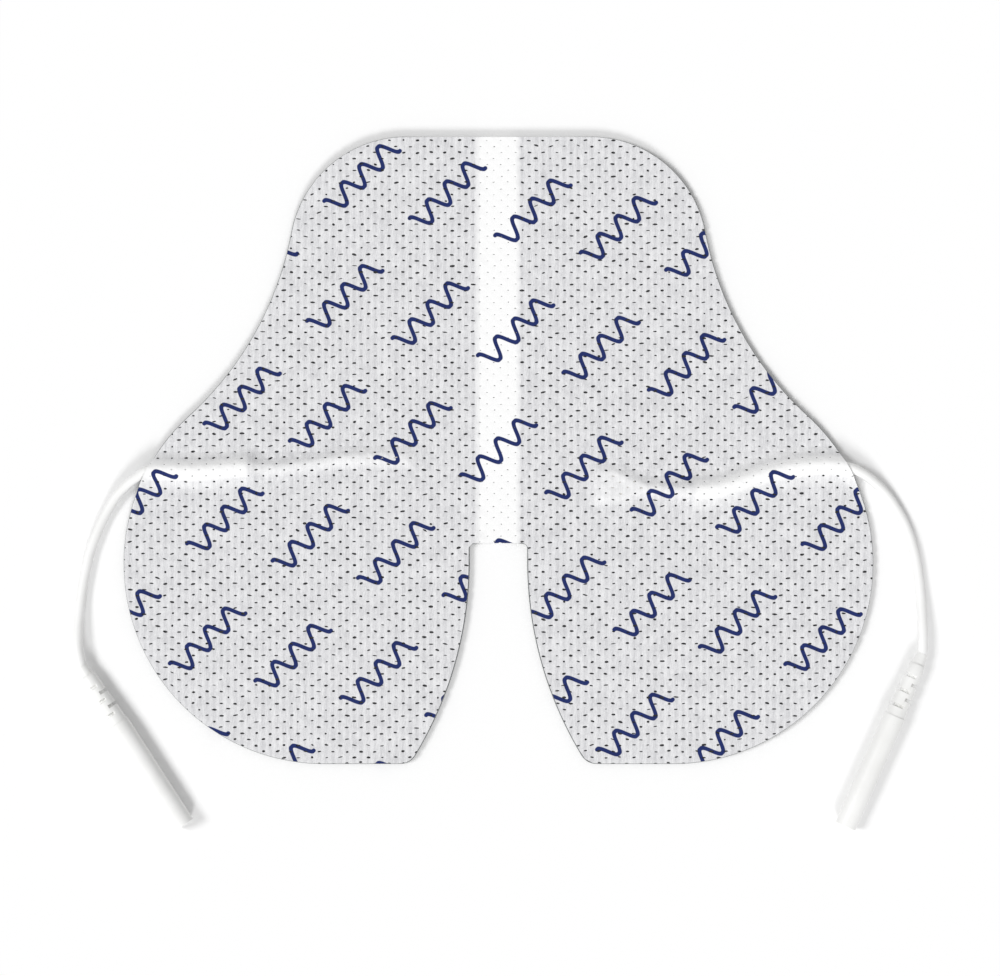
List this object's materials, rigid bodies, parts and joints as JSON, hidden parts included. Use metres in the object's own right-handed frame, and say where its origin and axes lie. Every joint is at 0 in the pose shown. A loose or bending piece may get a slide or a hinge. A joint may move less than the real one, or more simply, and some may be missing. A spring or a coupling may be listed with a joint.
{
  "type": "tens electrode pad",
  "caption": "Butterfly-shaped self-adhesive nerve stimulation pad: perforated fabric over carbon film and gel in two poles, each with a white pigtail lead ending in a slotted pin socket.",
  "frame": {"origin": "under the middle of the pad, on the gel's underside, which is the face that goes on the skin. The leads lie outside this and don't move it", "axes": "+Z out of the printed fabric cover, +X across the pad towards its right lobe, +Y towards the joined top edge, so the notch opens towards -Y"},
  "size_m": [0.1647, 0.1336, 0.0042],
  "materials": {
    "white_nonwoven_fabric": "perforated nonwoven, matte",
    "white_polyester_film": "thin matte film",
    "black_carbon_film": "satin black",
    "clear_grey_hydrogel": "wet, glossy, lets the black film show through",
    "white_pvc_insulation": "satin soft PVC",
    "tinned_copper_strands": "bare tinned strands",
    "white_moulded_pvc": "satin moulded PVC",
    "nickel_plated_brass": "nickel plated"
  },
  "bodies": {
    "root": {"fabric_cover": "white_nonwoven_fabric", "insulating_strip": "white_polyester_film", "left_conductive_film": "black_carbon_film", "right_conductive_film": "black_carbon_film", "left_gel_sheet": "clear_grey_hydrogel", "right_gel_sheet": "clear_grey_hydrogel", "left_lead_wire": "white_pvc_insulation", "right_lead_wire": "white_pvc_insulation", "left_conductor": "tinned_copper_strands", "right_conductor": "tinned_copper_strands", "left_connector_body": "white_moulded_pvc", "right_connector_body": "white_moulded_pvc", "left_socket_contact": "nickel_plated_brass", "right_socket_contact": "nickel_plated_brass"}
  },
  "joints": []
}
